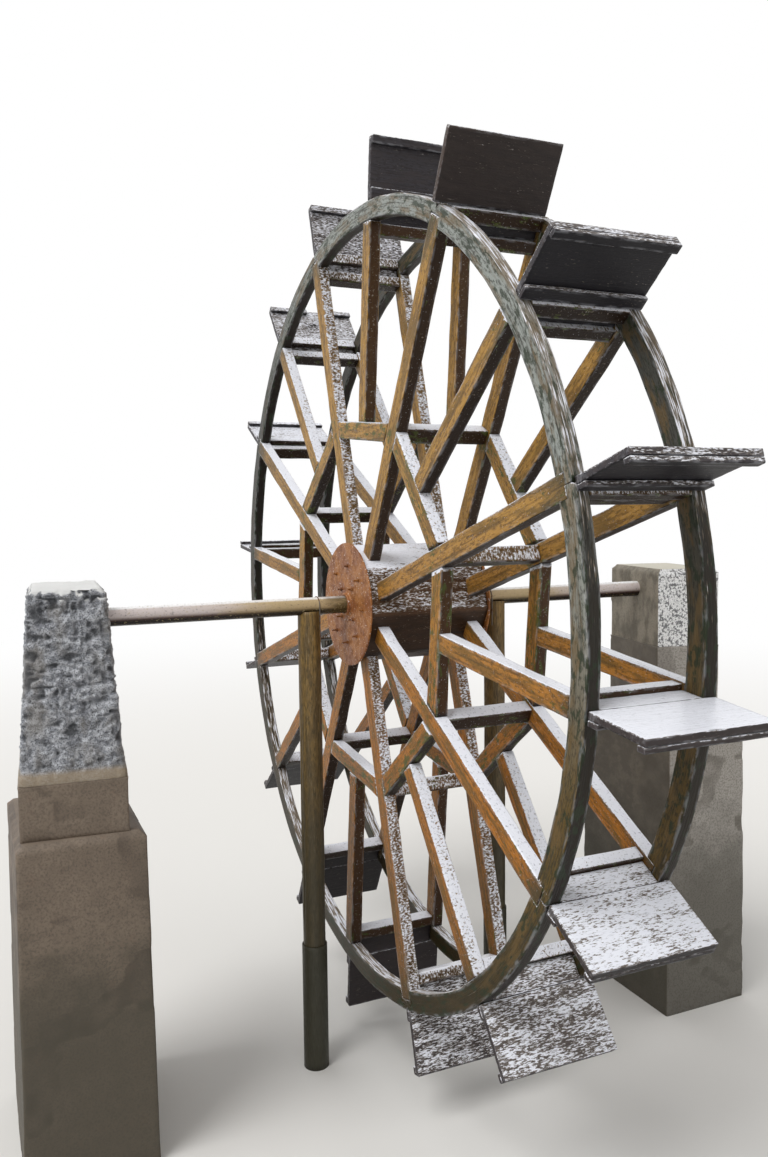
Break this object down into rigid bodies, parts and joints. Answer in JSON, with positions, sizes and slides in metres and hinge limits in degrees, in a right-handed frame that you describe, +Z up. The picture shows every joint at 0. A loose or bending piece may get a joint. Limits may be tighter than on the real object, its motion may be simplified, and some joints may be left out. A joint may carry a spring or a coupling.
{
  "type": "water wheel",
  "caption": "Timber water wheel with flat paddles and spoked side frames, turning on a fixed steel pipe that rests in two granite piers and on round wooden props.",
  "frame": {"origin": "on the floor, midway between the piers' footings and under the wheel's shaft", "axes": "+Z up, +Y along the shaft towards the far pier, +X to the right as seen from the near pier"},
  "size_m": [5.546, 4.88, 5.723],
  "materials": {
    "weathered_oak": "sawn and weathered, wet on top",
    "wet_rim": "wet, with moss",
    "dark_board": "soaked, dark and slimy",
    "hub_timber": "soaked, dark",
    "rusted_plate": "rusted",
    "pipe_steel": "rusted, with moss",
    "tie_wire": "dull galvanised",
    "prop_wood": "round, barked and cracked",
    "granite": "rough",
    "cut_stone": "dressed, stained"
  },
  "bodies": {
    "stand": {"near_pier_footing": "cut_stone", "near_pier_base": "cut_stone", "near_pier_block": "granite", "far_pier_footing": "cut_stone", "far_pier_base": "cut_stone", "far_pier_block": "granite", "shaft_pipe": "pipe_steel", "near_prop": "prop_wood", "far_prop": "prop_wood", "prop_sockets": "pipe_steel", "shaft_ties": "tie_wire"},
    "wheel": {"hub_drum": "hub_timber", "hub_plates": "rusted_plate", "near_long_spokes": "weathered_oak", "far_long_spokes": "weathered_oak", "near_short_spokes": "weathered_oak", "far_short_spokes": "weathered_oak", "near_braces": "weathered_oak", "far_braces": "weathered_oak", "near_even_felloes": "wet_rim", "near_odd_felloes": "wet_rim", "far_even_felloes": "wet_rim", "far_odd_felloes": "wet_rim", "inner_rungs": "weathered_oak", "rim_rungs": "weathered_oak", "inner_boards": "dark_board", "paddle_cleats": "weathered_oak", "paddle_battens": "dark_board", "paddle_lips": "dark_board", "paddle_01": "dark_board", "paddle_02": "dark_board", "paddle_03": "dark_board", "paddle_04": "dark_board", "paddle_05": "dark_board", "paddle_06": "dark_board", "paddle_07": "dark_board", "paddle_08": "dark_board", "paddle_09": "dark_board", "paddle_10": "dark_board", "paddle_11": "dark_board", "paddle_12": "dark_board", "paddle_13": "dark_board", "paddle_14": "dark_board", "paddle_15": "dark_board", "paddle_16": "dark_board"}
  },
  "joints": [
    {"name": "wheel_turn", "type": "hinge", "parent": "stand", "child": "wheel", "pos_m": [0, 0, 2.95], "axis": [0, 1, 0], "continuous": true}
  ]
}
